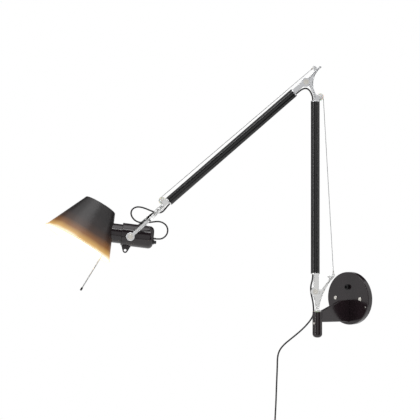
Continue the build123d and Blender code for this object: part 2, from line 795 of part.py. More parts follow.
# ---------------------------------------------------------------- arms
def build_arm(name, frame, joint, tube_start, tube_length, hook):
    """Fork, pivot bolt, tube, spring, rope and pulley: the same on both arms."""
    tube_end = tube_start + tube_length
    inner = hub_thickness / 2 + washer_thickness
    outer = inner + cheek_thickness

    fork = tube_plug(tube_start - 0.5, tube_start + plug_length)
    fork += rod(tube_radius, tube_start - flange_thickness, tube_start)
    for side in (-1, 1):
        low = min(side * inner, side * outer)
        fork += cross_rod(hub_radius, low, low + cheek_thickness)
        cheek = (low, low + cheek_thickness)
        fork += block((-cheek_upper, cheek_under), cheek, (0, tube_start - 1))
    root = tube_start - flange_thickness - cheek_root
    fork += block((-cheek_upper, cheek_under), (-outer, outer), (root, tube_start - 1))
    fork -= cross_rod(pivot_bolt_radius + fixed_fit, -cut_reach, cut_reach)
    fork -= rod(cord_hole_radius, tube_start - 10, tube_start + plug_length + 1, cord_offset, 0)
    add(name + "_arm_fork", frame, fork)

    head_top = outer + pivot_head_height
    bolt = cross_rod(pivot_bolt_radius, -outer, outer) + cross_rod(pivot_head_radius, outer, head_top)
    socket = extrude(RegularPolygon(pivot_socket_radius, 6), pivot_head_height / 2, both=True)
    bolt -= Pos(0, head_top, 0) * Rot(90, 0, 0) * socket
    nut = cross_rod(pivot_head_radius, -head_top, -outer)
    washer = cross_rod(hub_radius - 1, hub_thickness / 2, inner)
    washer -= cross_rod(pivot_bolt_radius + fixed_fit, -cut_reach, cut_reach)
    add(joint + "_bolt", frame, bolt)
    add(joint + "_nut", frame, nut)
    add(joint + "_washers", frame, washer, mirrored(washer))

    tube = rod(tube_radius, tube_start, tube_end)
    tube -= rod(tube_radius - tube_wall, tube_start - 1, tube_end + 1)
    add(name + "_tube", frame, tube)

    spring_low = tube_start + plug_length + spring_seat_gap + spring_wire_radius
    spring_high = spring_low + spring_turns * spring_pitch

    def spring_place(turn):
        angle = 2 * math.pi * turn
        x = spring_offset + spring_radius * math.cos(angle)
        return Vector(x, spring_radius * math.sin(angle), spring_low + turn * spring_pitch)

    spring = winding(name + "_spring", spring_place, spring_turns, spring_wire_radius, 2)
    add(name + "_spring", frame, spring)

    anchor_low = spring_high + spring_wire_radius + spring_seat_gap
    anchor_top = anchor_low + anchor_height
    anchor = rod(anchor_radius, anchor_low, anchor_top, spring_offset)
    anchor = fillet(anchor.edges().filter_by(GeomType.CIRCLE), 0.8)
    add(name + "_rope_anchor", frame, anchor)

    wheel = (-pulley_offset, tube_end + pulley_beyond_tube)
    outside = tangent_point(hook, wheel, pulley_wrap_radius, -1)
    inside = tangent_point((spring_offset, anchor_top), wheel, pulley_wrap_radius, 1)
    over = (wheel[0], wheel[1] + pulley_wrap_radius)
    start = (rope_frame(hook, tube_start, tube_length) * Pos(0, 0, ferrule_seat + ferrule_length)).position
    bends = [Vector(p[0], 0, p[1]) for p in (outside, over, inside)]
    path = Wire(
        [
            Line(start, bends[0]).edge(),
            ThreePointArc(*bends).edge(),
            Line(bends[2], Vector(spring_offset, 0, anchor_top)).edge(),
        ]
    )
    add(name + "_rope", frame, tube_on(path, rope_radius))

    inner_cord = rod(cord_radius, tube_start - flange_thickness, tube_end + flange_thickness, cord_offset)
    add(name + "_inner_cord", frame, inner_cord)
    build_pulley(name, frame, tube_end)


# ---------------------------------------------------------------- head fork
def build_head_fork():
    """A stirrup: two prongs, an arch over the back of the lamp housing, and a stem."""
    outer = fork_inner + fork_thickness
    crown = fork_arch_centre - outer

    def stirrup(radius, half_width, front):
        arch = Rot(0, 90, 0) * Cylinder(radius, half_width * 2)
        legs = block((-half_width, half_width), (-radius, radius), (fork_arch_centre, front))
        return Pos(0, 0, fork_arch_centre) * arch + legs

    fork = stirrup(outer, fork_half_width, 0)
    for side in (-1, 1):
        low = min(side * fork_inner, side * outer)
        fork += cross_rod(fork_eye_radius, low, low + fork_thickness)
    fork -= stirrup(fork_inner, fork_half_width + 20, 40)
    groove = stirrup(outer + 5, fork_groove_half_width, -fork_eye_radius - 4)
    groove -= stirrup(outer - fork_groove_depth, 20, 20)
    groove -= block((-cut_reach, cut_reach), (-16, 16), (crown - 20, 0))
    fork -= groove
    root_back = crown - fork_root_height
    fork += rod(fork_root_radius, root_back, crown + fork_thickness / 2)
    fork += rod(stem_radius, root_back - stem_length, root_back + 0.5)
    fork -= cross_rod(pivot_screw_radius + slide_fit, -cut_reach, cut_reach)
    add("head_fork", fork_frame, fork)

    collar_front = root_back - collar_gap
    collar = rod(collar_radius, collar_front - collar_length, collar_front)
    collar = chamfer(collar.edges().filter_by(GeomType.CIRCLE), 0.8)
    collar -= rod(stem_radius + fixed_fit, collar_front - 20, collar_front + 1)
    add("fork_collar", fork_frame, collar)


# ---------------------------------------------------------------- head
def build_housings():
    inner = housing_radius - housing_wall
    rear = rod(housing_radius, housing_rear, housing_split)
    rear = fillet(rear.edges().filter_by(GeomType.CIRCLE).sort_by(Axis.Z)[0], housing_rear_round)
    cavity = rod(inner, housing_rear + housing_wall, housing_split + 1)
    inner_edge = cavity.edges().filter_by(GeomType.CIRCLE).sort_by(Axis.Z)[0]
    cavity = fillet(inner_edge, housing_rear_round - housing_wall)
    boss = Rot(0, 90, 0) * Cylinder(top_boss_radius, 2 * top_boss_rise)
    rear += Pos(-housing_radius, 0, top_boss_along) * boss
    rear -= cavity
    rear -= rod(gland_stem_radius + fixed_fit, housing_rear - 5, housing_rear + 10, gland_offset, 0)
    rear -= rod(bezel_body_radius + fixed_fit, housing_rear - 5, housing_rear + 10, switch_offset, 0)
    add("rear_housing", head_frame, rear)

    spigot_radius_out = inner - fixed_fit
    front = rod(housing_radius, housing_split, housing_front)
    front = fillet(front.edges().filter_by(GeomType.CIRCLE).sort_by(Axis.Z)[-1], 1.2)
    front += rod(spigot_radius_out, housing_split - housing_spigot, housing_split + 1)
    boss_reach = fork_inner - slide_fit
    for side in (-1, 1):
        low = min(side * (housing_radius - 6), side * boss_reach)
        front += cross_rod(pivot_boss_radius, low, low + boss_reach - housing_radius + 6)
    lug_face = make_hull(
        [
            (Pos(lug_reach, lug_along) * Circle(lug_end_radius)).edge(),
            Line((housing_radius - 4, lug_rear), (housing_radius - 4, housing_front - 1)).edge(),
        ]
    )
    front += side_plate(lug_face, lug_thickness)
    front -= rod(neck_radius + body_gap, neck_start - body_gap, housing_front + 1)
    front -= rod(neck_radius - 3, housing_split - 20, housing_front)
    for side in (-1, 1):
        low = min(side * (neck_radius - 6), side * (housing_radius - 4))
        boss = cross_rod(pivot_boss_radius - 2, low, low + housing_radius - neck_radius + 2)
        front += boss - rod(neck_radius + body_gap, neck_start - body_gap, housing_front + 1)
    front -= cross_rod(pivot_screw_radius + fixed_fit, -cut_reach, cut_reach)
    front -= cross_rod(lug_hole_radius, -cut_reach, cut_reach, lug_reach, lug_along)
    add("front_housing", head_frame, front)

    fork_outer = fork_inner + fork_thickness
    head_seat = fork_outer + slide_fit
    screw = cross_rod(pivot_screw_radius, fork_inner - pivot_screw_reach, head_seat + 0.1)
    cap = cross_rod(pivot_screw_head_radius, head_seat, head_seat + pivot_screw_head_height)
    cap = fillet(cap.edges().filter_by(GeomType.CIRCLE).sort_by(Axis.Y)[-1], 0.8)
    screw += cap
    add("pivot_screws", head_frame, screw, mirrored(screw))


def build_head_fittings():
    gland_back = housing_rear - gland_length
    gland = turned(
        (0, gland_back),
        (gland_tip_radius, gland_back),
        (gland_radius - 0.3, housing_rear - 1.6),
        (gland_radius, housing_rear - 1.6),
        (gland_radius, housing_rear),
        (gland_stem_radius, housing_rear),
        (gland_stem_radius, housing_rear + 6),
        (0, housing_rear + 6),
    )
    add("cord_gland", head_frame * Pos(gland_offset, 0, 0), gland)

    bezel = rod(bezel_radius, housing_rear - bezel_height, housing_rear)
    bezel += rod(bezel_body_radius, housing_rear, housing_rear + bezel_body_length)
    bore = button_radius + button_gap
    bezel_end = housing_rear + bezel_body_length
    bezel -= rod(bore, housing_rear - 10, bezel_end - 1.0)
    add("switch_bezel", head_frame * Pos(switch_offset, 0, 0), bezel)
    button_back = housing_rear - bezel_height - button_reach
    button = rod(button_radius, button_back, bezel_end - 1.0 - button_travel - 0.5)
    button = fillet(button.edges().filter_by(GeomType.CIRCLE).sort_by(Axis.Z)[0], 1.2)
    add("switch_button", head_frame * Pos(switch_offset, 0, 0), button)

    width, depth, height = terminal_size
    seat = housing_rear + housing_wall
    terminal = block(
        (terminal_offset - width / 2, terminal_offset + width / 2),
        (-depth / 2, depth / 2),
        (seat, seat + height),
    )
    for side in (-1, 1):
        terminal -= rod(1.6, seat + height - 5, seat + height + 1, terminal_offset, side * 3.0)
    add("terminal_block", head_frame, terminal)


# ---------------------------------------------------------------- shade
wall_slope = math.atan2(shade_rim_radius - shade_top_radius, shade_height)
cone_place = Pos(
    -shade_slant_to_neck - shade_top_radius * math.sin(wall_slope),
    0,
    shade_seat_along + shade_top_radius * math.cos(wall_slope),
) * Rot(0, 90 - math.degrees(wall_slope), 0)


def cone_solid(outset):
    """The shade's outer cone as a full solid, grown by an amount square to its wall."""
    grow = outset / math.cos(wall_slope)
    run = 30.0
    slope = math.tan(wall_slope)
    return turned(
        (0, -run),
        (shade_top_radius - run * slope + grow, -run),
        (shade_rim_radius + run * slope + grow, shade_height + run),
        (0, shade_height + run),
    )


def build_shade():
    slant_wall = shade_wall / math.cos(wall_slope)
    slope = math.tan(wall_slope)
    shell = turned(
        (0, 0),
        (shade_top_radius, 0),
        (shade_rim_radius, shade_height),
        (shade_rim_radius - slant_wall, shade_height),
        (shade_top_radius - slant_wall + shade_wall * slope, shade_wall),
        (0, shade_wall),
    )
    top_edge = shell.edges().filter_by(GeomType.CIRCLE).sort_by(Axis.Z)[0]
    shell = fillet(top_edge, shade_top_round)
    lip = revolve(Plane.XZ * Pos(shade_rim_radius, shade_height - 0.4) * Circle(shade_lip_radius), Axis.Z)
    shell = cone_place * (shell + lip)
    shell -= rod(holder_radius + 0.2, 0, shade_seat_along + 30)
    add("shade", shade_frame, shell)


def build_neck_and_lamp():
    neck = rod(neck_radius, neck_start, shade_seat_along + 12)
    flange_back = shade_seat_along - neck_flange_thickness
    neck -= rod(neck_radius - neck_wall, neck_start - 1, flange_back)
    neck -= rod(holder_radius + 0.2, 0, shade_seat_along + 20)
    neck -= cone_place * cone_solid(fixed_fit)
    add("neck_sleeve", shade_frame, neck)

    ring = rod(ring_radius, shade_seat_along, ring_front) - rod(holder_radius + fixed_fit, 0, ring_front + 1)
    ring &= cone_place * cone_solid(-shade_wall - fixed_fit)
    start = Vector(rod_start[0], 0, rod_start[1])
    tip = Vector(rod_tip[0], 0, rod_tip[1])
    along = (tip - start).normalized()
    rod_plane = Plane(origin=start, z_dir=along)
    socket = extrude(rod_plane * Circle(rod_radius + fixed_fit), 12)
    add("shade_ring", shade_frame, ring - socket)
    length = (tip - start).length
    handle = turned(
        (0, 0),
        (rod_radius, 0),
        (rod_radius, length - bead_length),
        (bead_radius, length - bead_length + 1.5),
        (bead_radius, length - 1.0),
        (bead_radius - 1.0, length),
        (0, length),
    )
    add("handle_rod", shade_frame, rod_plane.location * handle)

    holder_end = ring_front - 1.0
    holder = rod(holder_radius, holder_start, holder_end)
    holder += rod(holder_flange_radius, flange_back - 0.05 - holder_flange_thickness, flange_back - 0.05)
    holder -= rod(bulb_cap_radius + body_gap, bulb_cap_start, holder_end + 1)
    add("lampholder", shade_frame, holder)

    cap_end = holder_end + 1.0
    cap = rod(bulb_cap_radius, bulb_cap_start + 3, cap_end) + rod(4.5, bulb_cap_start, bulb_cap_start + 3)
    cap -= rod(bulb_cap_radius - 1.2, cap_end - 4, cap_end + 1)
    add("bulb_cap", shade_frame, cap)

    def bulb_face(radius, neck_r, start_z):
        waist = (neck_r, start_z)
        drop = math.radians(38)
        side = (radius * math.cos(drop), bulb_along - radius * math.sin(drop))
        low = Line((0, start_z), waist)
        flare = TangentArc(side, waist, tangent=(-math.sin(drop), -math.cos(drop)))
        globe = ThreePointArc(side, (radius, bulb_along), (0, bulb_along + radius))
        axis = Line((0, bulb_along + radius), (0, start_z))
        return outline(low, flare, globe, axis)

    glass_low = cap_end - 3.9
    glass = revolve(Plane.XZ * bulb_face(bulb_radius, bulb_cap_radius - 1.3, glass_low), Axis.Z)
    void_face = bulb_face(bulb_radius - bulb_wall, bulb_cap_radius - 1.3 - bulb_wall, glass_low + bulb_wall)
    void = revolve(Plane.XZ * void_face, Axis.Z)
    add("bulb_glass", shade_frame, glass - void)


# ---------------------------------------------------------------- cord
def build_cords():
    add("shoulder_cord", arm_frame, cord_solid("shoulder_cord", shoulder_route, cord_radius))
    add("mains_cord", arm_frame, cord_solid("mains_cord", mains_route, cord_radius))
    add("elbow_cord", arm_frame, cord_solid("elbow_cord", elbow_route, cord_radius))
    add("arm_end_cord", arm_frame, cord_solid("arm_end_cord", arm_end_route, cord_radius))
    add("head_cord", arm_frame, cord_solid("head_cord", head_route, cord_radius))


def build_coil():
    """The put-away length: layers that spiral in and out, and climb in the half turn between."""
    layer_shift = -(len(coil_layer_turns) - 1) / 2 * coil_pitch
    spans = []
    turn = 0.0
    radius = coil_inner_radius + coil_layer_turns[0] * coil_pitch
    across = layer_shift
    inward = True
    for index, count in enumerate(coil_layer_turns):
        slope = -coil_pitch if inward else coil_pitch
        spans.append((turn, turn + count, radius, slope, across, 0.0))
        turn += count
        radius += slope * count
        if index < len(coil_layer_turns) - 1:
            spans.append((turn, turn + 0.5, radius, 0.0, across, coil_pitch))
            turn += 0.5
            across += coil_pitch
        inward = not inward

    def coil_place(at):
        held = min(max(at, 0.0), turn)
        for start, end, span_radius, slope, shift, climb in spans:
            if held <= end:
                break
        part = held - start
        here = span_radius + slope * part
        share = part / (end - start)
        rise = shift + climb * share * share * (3 - 2 * share)
        angle = math.radians(coil_entry_angle) - 2 * math.pi * at
        centre = Vector(*coil_centre)
        return centre + Vector(here * math.cos(angle), rise, here * math.sin(angle))

    coil = winding("mains_coil", coil_place, turn, cord_radius, 4, lead=2 * cord_radius)
    add("mains_coil", arm_frame, coil)
    step = 1e-4
    start_dir = (coil_place(step) - coil_place(-step)).normalized()
    end_dir = (coil_place(turn + step) - coil_place(turn - step)).normalized()
    print("coil entry", coil_place(0) - start_dir * 2 * cord_radius, "heading", start_dir)
    return Plane(origin=coil_place(turn) + end_dir * 2 * cord_radius, z_dir=end_dir, x_dir=(0, 1, 0))


def build_tie(outer_radius):
    """A band round all the turns, on the side away from where the cord comes in."""
    low = coil_inner_radius - cord_radius - tie_gap
    high = outer_radius + cord_radius + tie_gap
    half = (len(coil_layer_turns) - 1) / 2 * coil_pitch + cord_radius + tie_gap
    inside = Rectangle(high - low, 2 * half)
    inside = fillet(inside.vertices(), cord_radius)
    outside = Rectangle(high - low + 2 * tie_thickness, 2 * half + 2 * tie_thickness)
    outside = fillet(outside.vertices(), cord_radius + tie_thickness)
    band = extrude(outside - inside, tie_width / 2, both=True)
    centre = Pos(coil_centre[0] - (low + high) / 2, coil_centre[1], coil_centre[2])
    add("coil_tie", arm_frame * centre, band)


def build_plug(coil_end):
    """Strain relief, body and two round pins, hanging from the coil's end."""
    place = arm_frame * coil_end.location
    thickness, width, length = plug_size
    face = relief_length + length
    body = block((-width / 2, width / 2), (-thickness / 2, thickness / 2), (relief_length, face))
    body = fillet(body.edges().filter_by(Axis.Z), plug_round)
    body = fillet(body.edges().group_by(Axis.Z)[0], 2.5)
    relief_end = relief_length + 1
    relief = turned((0, 0), (cord_radius + 0.8, 0), (relief_radius, relief_end), (0, relief_end))
    pins = []
    holes = Part()
    for side in (-1, 1):
        across = side * pin_spacing / 2
        holes += rod(pin_radius + fixed_fit, face - pin_seat, face + 1, across)
        pin = rod(pin_radius, face - pin_seat, face + pin_length, across)
        pins.append(fillet(pin.edges().filter_by(GeomType.CIRCLE).sort_by(Axis.Z)[-1], 1.2))
    add("plug_body", place, body + relief - holes)
    add("plug_pins", place, *pins)


gland_tip = arm_frame.inverse() * head_frame * Pos(gland_offset, 0, housing_rear - gland_length)
print("gland tip", gland_tip.position)

build_wall_plate()
build_mounting_plate()
build_plate_screws()
build_wall_bracket()
build_shoulder_casting()
build_elbow_casting()
build_arm_end_fitting()
build_arm("lower", lower_frame, "shoulder", lower_tube_start, lower_tube_length, lower_hook)
build_arm("upper", upper_frame, "elbow", upper_tube_start, upper_tube_length, upper_hook)
build_head_fork()
build_housings()
build_head_fittings()
build_shade()
build_neck_and_lamp()
build_cords()
coil_end = build_coil()
build_tie(coil_inner_radius + max(coil_layer_turns) * coil_pitch)
build_plug(coil_end)

os.makedirs("parts", exist_ok=True)
for name, solids in parts.items():
    shape = solids[0] if len(solids) == 1 else Compound(children=solids)
    export_step(shape, f"parts/{name}.step")
print(len(parts), "nodes")
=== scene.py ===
# %% [markdown]
# # Articulating wall lamp
#
# A wall lamp with two black tubes, polished joints and a turning shade.  Its shapes come from the
# engineering model, so most of this lesson is about three other things: the cord, which is soft, the
# few pieces that deserve a finer mesh than the engineering one, and the finishes.
#
# All places are in metres.  The wall is the plane y = 0, the lamp reaches out along -Y, +Z is up.

import json
import math

import bmesh
import bpy
from mathutils import Matrix, Vector


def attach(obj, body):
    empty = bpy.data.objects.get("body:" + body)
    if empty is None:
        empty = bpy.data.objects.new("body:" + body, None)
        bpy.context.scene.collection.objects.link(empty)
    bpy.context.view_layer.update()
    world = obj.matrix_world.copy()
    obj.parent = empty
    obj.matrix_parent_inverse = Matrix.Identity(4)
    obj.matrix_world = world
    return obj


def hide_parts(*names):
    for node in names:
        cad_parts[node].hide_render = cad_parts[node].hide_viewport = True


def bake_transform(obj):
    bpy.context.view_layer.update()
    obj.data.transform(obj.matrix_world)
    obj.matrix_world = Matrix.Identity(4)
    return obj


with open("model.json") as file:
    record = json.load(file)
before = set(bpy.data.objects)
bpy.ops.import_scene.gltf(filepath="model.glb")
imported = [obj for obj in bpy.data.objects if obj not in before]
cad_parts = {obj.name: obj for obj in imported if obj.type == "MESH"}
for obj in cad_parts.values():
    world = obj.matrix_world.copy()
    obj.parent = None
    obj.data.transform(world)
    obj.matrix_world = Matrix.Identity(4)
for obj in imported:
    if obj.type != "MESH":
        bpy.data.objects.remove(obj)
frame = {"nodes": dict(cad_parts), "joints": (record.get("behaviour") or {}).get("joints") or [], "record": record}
parts = frame["nodes"]
joints = {joint["name"]: joint for joint in frame["joints"]}
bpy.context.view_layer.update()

# %% [markdown]
# ## Frames
#
# Each part of an arm is easiest to describe along that arm.  A small function builds such a frame from
# a pivot and two directions, and both directions are read from the joints: a hinge's axis is the way
# its bolt points, so nothing has to be measured twice.

# %% frames of the two arms and the head


def frame_at(origin, y_axis, z_axis):
    """A frame with its origin at a pivot, y across the part and z along it."""
    z = Vector(z_axis).normalized()
    y = Vector(y_axis).normalized()
    x = y.cross(z)
    turn = Matrix((x, y, z)).transposed().to_4x4()
    return Matrix.Translation(Vector(origin)) @ turn


def joint_place(name):
    return Vector(joints[name]["pos_m"])


def joint_axis(name):
    return Vector(joints[name]["axis"])


across = joint_axis("shoulder")
upper_way = joint_axis("fork_swivel")
upright = Vector((0, 0, 1))
arm_frame = frame_at(joint_place("swivel"), across, upright)
lower_frame = frame_at(joint_place("shoulder"), across, upright)
upper_frame = frame_at(joint_place("elbow"), across, upper_way)
head_frame = frame_at(joint_place("head_tilt"), -joint_axis("head_tilt"), joint_axis("shade_roll"))
print("the upper arm points along", tuple(round(v, 3) for v in upper_way))

# %% [markdown]
# The shade is a cone, and the neck that it turns on enters its side.  That side is square to the neck,
# so it runs along x in the shade's frame, and the cone's axis leans from it by the slope of the wall.

# %% frame of the shade's cone
shade_turn_at_rest = math.radians(14)
cone_top_radius = 0.0415
cone_rim_radius = 0.0900
cone_depth = 0.110
neck_side_x, neck_side_z = -0.0484, 0.0433

shade_frame = head_frame @ Matrix.Rotation(shade_turn_at_rest, 4, "Z")
wall_slope = math.atan2(cone_rim_radius - cone_top_radius, cone_depth)
cone_top = Vector((
    neck_side_x - cone_top_radius * math.sin(wall_slope),
    0,
    neck_side_z + cone_top_radius * math.cos(wall_slope),
))
cone_lean = Matrix.Rotation(math.pi / 2 - wall_slope, 4, "Y")
cone_frame = shade_frame @ Matrix.Translation(cone_top) @ cone_lean
print("the shade's cone opens along", tuple(round(v, 3) for v in cone_frame.col[2][:3]))

# %% [markdown]
# ## Camera
#
# The photograph looks square onto the plane of the two arms, from the height of the middle of the
# picture and about three metres away.  The camera goes there first, because everything after it is
# judged through it, and because a cord has to be put away outside what it sees.

# %% camera
scene = bpy.context.scene
view_distance = 3.0
view_width = 1.041
aim_along_arm = 0.266
aim_height = 0.219

aim = arm_frame @ Vector((aim_along_arm, 0, aim_height))
lens = bpy.data.cameras.new("camera")
lens.sensor_width = 36.0
lens.lens = lens.sensor_width * view_distance / view_width
lens.clip_start = 0.05
lens.clip_end = 60.0
camera = bpy.data.objects.new("camera", lens)
camera.location = aim + across * view_distance
camera.rotation_mode = "QUATERNION"
camera.rotation_quaternion = (aim - camera.location).to_track_quat("-Z", "Y")
scene.collection.objects.link(camera)
scene.camera = camera
print("camera at", tuple(round(v, 3) for v in camera.location), "lens", round(lens.lens, 1), "mm")

# %% [markdown]
# ## The lamp's cord
#
# One thin black lead runs from the plug up to the head.  It is free in five places: from the plug to
# below the shoulder, past the shoulder, round the elbow, and in a large and a small loop between the
# upper arm and the housing.  A flexible lead has no corners, so each of these is a smooth NURBS curve
# with listed control points; a curve of order 3 stays near them and bends evenly.  Order and end
# points are set after the points exist, because a short new spline resets them.
#
# The 1.6 m that the photograph doesn't show are wound into a coil, just below the picture.

# %% cord sizes and routes, in the arm's frame
cord_radius = 0.002

shoulder_route = (
    (0.0112, 0.0, 0.0605),
    (0.0112, 0.0, 0.0520),
    (0.0126, -0.0034, 0.0430),
    (0.0146, -0.0088, 0.0340),
    (0.0156, -0.0122, 0.0235),
    (0.0144, -0.0134, 0.0110),
    (0.0114, -0.0136, -0.0020),
    (0.0088, -0.0137, -0.0155),
    (0.0082, -0.0138, -0.0285),
)
mains_route = (
    (0.0082, -0.0138, -0.0285),
    (0.00783, -0.01386, -0.0365),
    (0.0104, -0.0136, -0.0465),
    (0.0174, -0.0120, -0.0572),
    (0.0294, -0.0090, -0.0706),
    (0.0454, -0.0050, -0.0850),
    (0.0643, -0.0020, -0.0998),
    (0.0822, -0.0005, -0.1140),
    (0.0938, 0.0, -0.1282),
    (0.0989, 0.0003, -0.1445),
    (0.0993, 0.0002, -0.1720),
    (0.1010, -0.0005, -0.2120),
    (0.1023, -0.0020, -0.2560),
    (0.1040, -0.0045, -0.2900),
    (0.1048, -0.0068, -0.3120),
    (0.1050, -0.0078, -0.3280),
    (0.1057, -0.0081, -0.3406),
    (0.11089, -0.0081, -0.34933),
    (0.11899, -0.0081, -0.35325),
)
elbow_route = (
    (0.05358, 0.0, 0.50585),
    (0.0453, 0.0, 0.51305),
    (0.0352, 0.0, 0.5198),
    (0.0258, 0.0, 0.5206),
    (0.0184, 0.0, 0.5146),
    (0.0142, 0.0, 0.5064),
    (0.0114, 0.0, 0.4974),
    (0.0112, 0.0, 0.48955),
)
head_route = (
    (0.40094, -0.00631, 0.14741),
    (0.39112, -0.00727, 0.14616),
    (0.3806, -0.0080, 0.1499),
    (0.3730, -0.0085, 0.1582),
    (0.3704, -0.0090, 0.1694),
    (0.3740, -0.0090, 0.1804),
    (0.3830, -0.0085, 0.1878),
    (0.3940, -0.0080, 0.1908),
    (0.4060, -0.0075, 0.1896),
    (0.4180, -0.0070, 0.1882),
)
arm_end_route = (
    (0.4180, -0.0070, 0.1882),
    (0.4280, -0.00658, 0.18703),
    (0.4400, -0.0075, 0.1878),
    (0.4510, -0.0095, 0.1916),
    (0.4596, -0.0120, 0.2002),
    (0.4634, -0.0145, 0.2108),
    (0.4602, -0.0170, 0.2208),
    (0.4510, -0.0195, 0.2266),
    (0.4395, -0.0215, 0.2266),
    (0.4275, -0.0230, 0.2230),
    (0.4155, -0.0238, 0.2178),
    (0.4045, -0.0230, 0.2138),
    (0.3940, -0.0190, 0.2118),
    (0.3847, -0.0125, 0.2137),
    (0.3783, -0.0056, 0.2202),
    (0.3723, -0.0008, 0.2279),
    (0.36575, 0.0, 0.23465),
)
hand_placed = (shoulder_route, mains_route, elbow_route, head_route, arm_end_route)
print("hand-placed points:", sum(len(route) for route in hand_placed))

# %% [markdown]
# The coil is worked out instead of placed: its layers spiral in and out by one pitch a turn, and the
# cord climbs to the next layer in the half turn where the spiral reverses.

# %% the coil's control points
coil_pitch = 0.0054
coil_inner_radius = 0.019
coil_centre = Vector((0.110, 0.0, -0.382))
coil_entry_angle = math.radians(65)
coil_layer_turns = (2.0, 2.0, 2.0, 2.68)
coil_climb_turns = 0.5
coil_points_per_turn = 16
coil_last_step = 2 * cord_radius


def coil_spans():
    """For each layer and each climb: its first and last turn, radius, slope, shift and climb."""
    spans = []
    turn = 0.0
    radius = coil_inner_radius + coil_layer_turns[0] * coil_pitch
    shift = -(len(coil_layer_turns) - 1) / 2 * coil_pitch
    slope = -coil_pitch
    for index, count in enumerate(coil_layer_turns):
        spans.append((turn, turn + count, radius, slope, shift, 0.0))
        turn += count
        radius += slope * count
        if index < len(coil_layer_turns) - 1:
            spans.append((turn, turn + coil_climb_turns, radius, 0.0, shift, coil_pitch))
            turn += coil_climb_turns
            shift += coil_pitch
        slope = -slope
    return spans


def coil_place(at, spans):
    """Where the coil's centre line is after that many turns."""
    for start, end, span_radius, slope, shift, climb in spans:
        if at <= end:
            break
    part = at - start
    share = part / (end - start)
    rise = shift + climb * share * share * (3 - 2 * share)
    reach = span_radius + slope * part
    angle = coil_entry_angle - 2 * math.pi * at
    return coil_centre + Vector((reach * math.cos(angle), rise, reach * math.sin(angle)))


spans = coil_spans()
coil_turns = spans[-1][1]
coil_steps = round(coil_turns * coil_points_per_turn)
coil_route = [coil_place(coil_turns * i / coil_steps, spans) for i in range(coil_steps + 1)]
last_way = (coil_route[-1] - coil_route[-2]).normalized()
half_step = Matrix.Rotation(math.pi / coil_points_per_turn, 3, "Y")
coil_end_way = half_step @ last_way
coil_route.append(coil_route[-1] + coil_end_way * coil_last_step)
print("coil:", round(coil_turns, 2), "turns and", len(coil_route), "points")

# %% [markdown]
# A cord that crosses a pivot has to bend with it.  Each cord is drawn as a curve, measured, and then
# turned into a mesh tube, whose centre line comes back with it.

# %% make the cords


def smooth_curve(name, route, radius):
    """A curve of one smooth spline whose control points are the route's points."""
    curve = bpy.data.curves.new(name, "CURVE")
    curve.dimensions = "3D"
    curve.resolution_u = 8
    curve.bevel_depth = radius
    curve.bevel_resolution = 3
    curve.use_fill_caps = True
    spline = curve.splines.new("NURBS")
    spline.points.add(len(route) - 1)
    for point, spot in zip(spline.points, route):
        point.co = (*(arm_frame @ Vector(spot)), 1.0)
    spline.order_u = 3
    spline.use_endpoint_u = True
    curve_object = bpy.data.objects.new(name, curve)
    scene.collection.objects.link(curve_object)
    return curve_object


def centre_line(curve_object):
    """The points that a curve really follows, read from the curve without its thickness."""
    bevel = curve_object.data.bevel_depth
    curve_object.data.bevel_depth = 0.0
    bpy.context.view_layer.update()
    graph = bpy.context.evaluated_depsgraph_get()
    line = bpy.data.meshes.new_from_object(curve_object.evaluated_get(graph))
    points = [vertex.co.copy() for vertex in line.vertices]
    bpy.data.meshes.remove(line)
    curve_object.data.bevel_depth = bevel
    bpy.context.view_layer.update()
    return points


def line_length(points):
    return sum((b - a).length for a, b in zip(points, points[1:]))


def as_tube(curve_object):
    """A mesh of the same tube, and its centre line."""
    line = centre_line(curve_object)
    graph = bpy.context.evaluated_depsgraph_get()
    mesh = bpy.data.meshes.new_from_object(curve_object.evaluated_get(graph))
    name = curve_object.name
    bpy.data.objects.remove(curve_object)
    tube = bpy.data.objects.new(name, mesh)
    scene.collection.objects.link(tube)
    return tube, line


soft_cords = {}
for name, route, bends_with, far_body in (
    ("shoulder_lead", shoulder_route, "lower_arm", "support"),
    ("elbow_lead", elbow_route, "upper_arm", "lower_arm"),
    ("arm_end_lead", arm_end_route, "fork", "upper_arm"),
    ("head_lead", head_route, "head", "fork"),
):
    tube, line = as_tube(smooth_curve(name, route, cord_radius))
    soft_cords[name] = tube
    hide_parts(name.replace("_lead", "_cord"))
    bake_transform(tube)
    print(name, "is", round(line_length(line) * 1000), "mm long")

whole_route = list(mains_route) + coil_route
mains_lead, mains_line = as_tube(smooth_curve("mains_lead", whole_route, cord_radius))
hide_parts("mains_cord", "mains_coil")
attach(mains_lead, "support")

# %% [markdown]
# The plug is what ends the lead: a ribbed sleeve that stops the lead from kinking, and a moulded grip
# with finger grooves.  A ring is drawn once, made a little square, and then extruded from one section
# to the next.  Each section is its distance along the plug, its half width and its half depth.

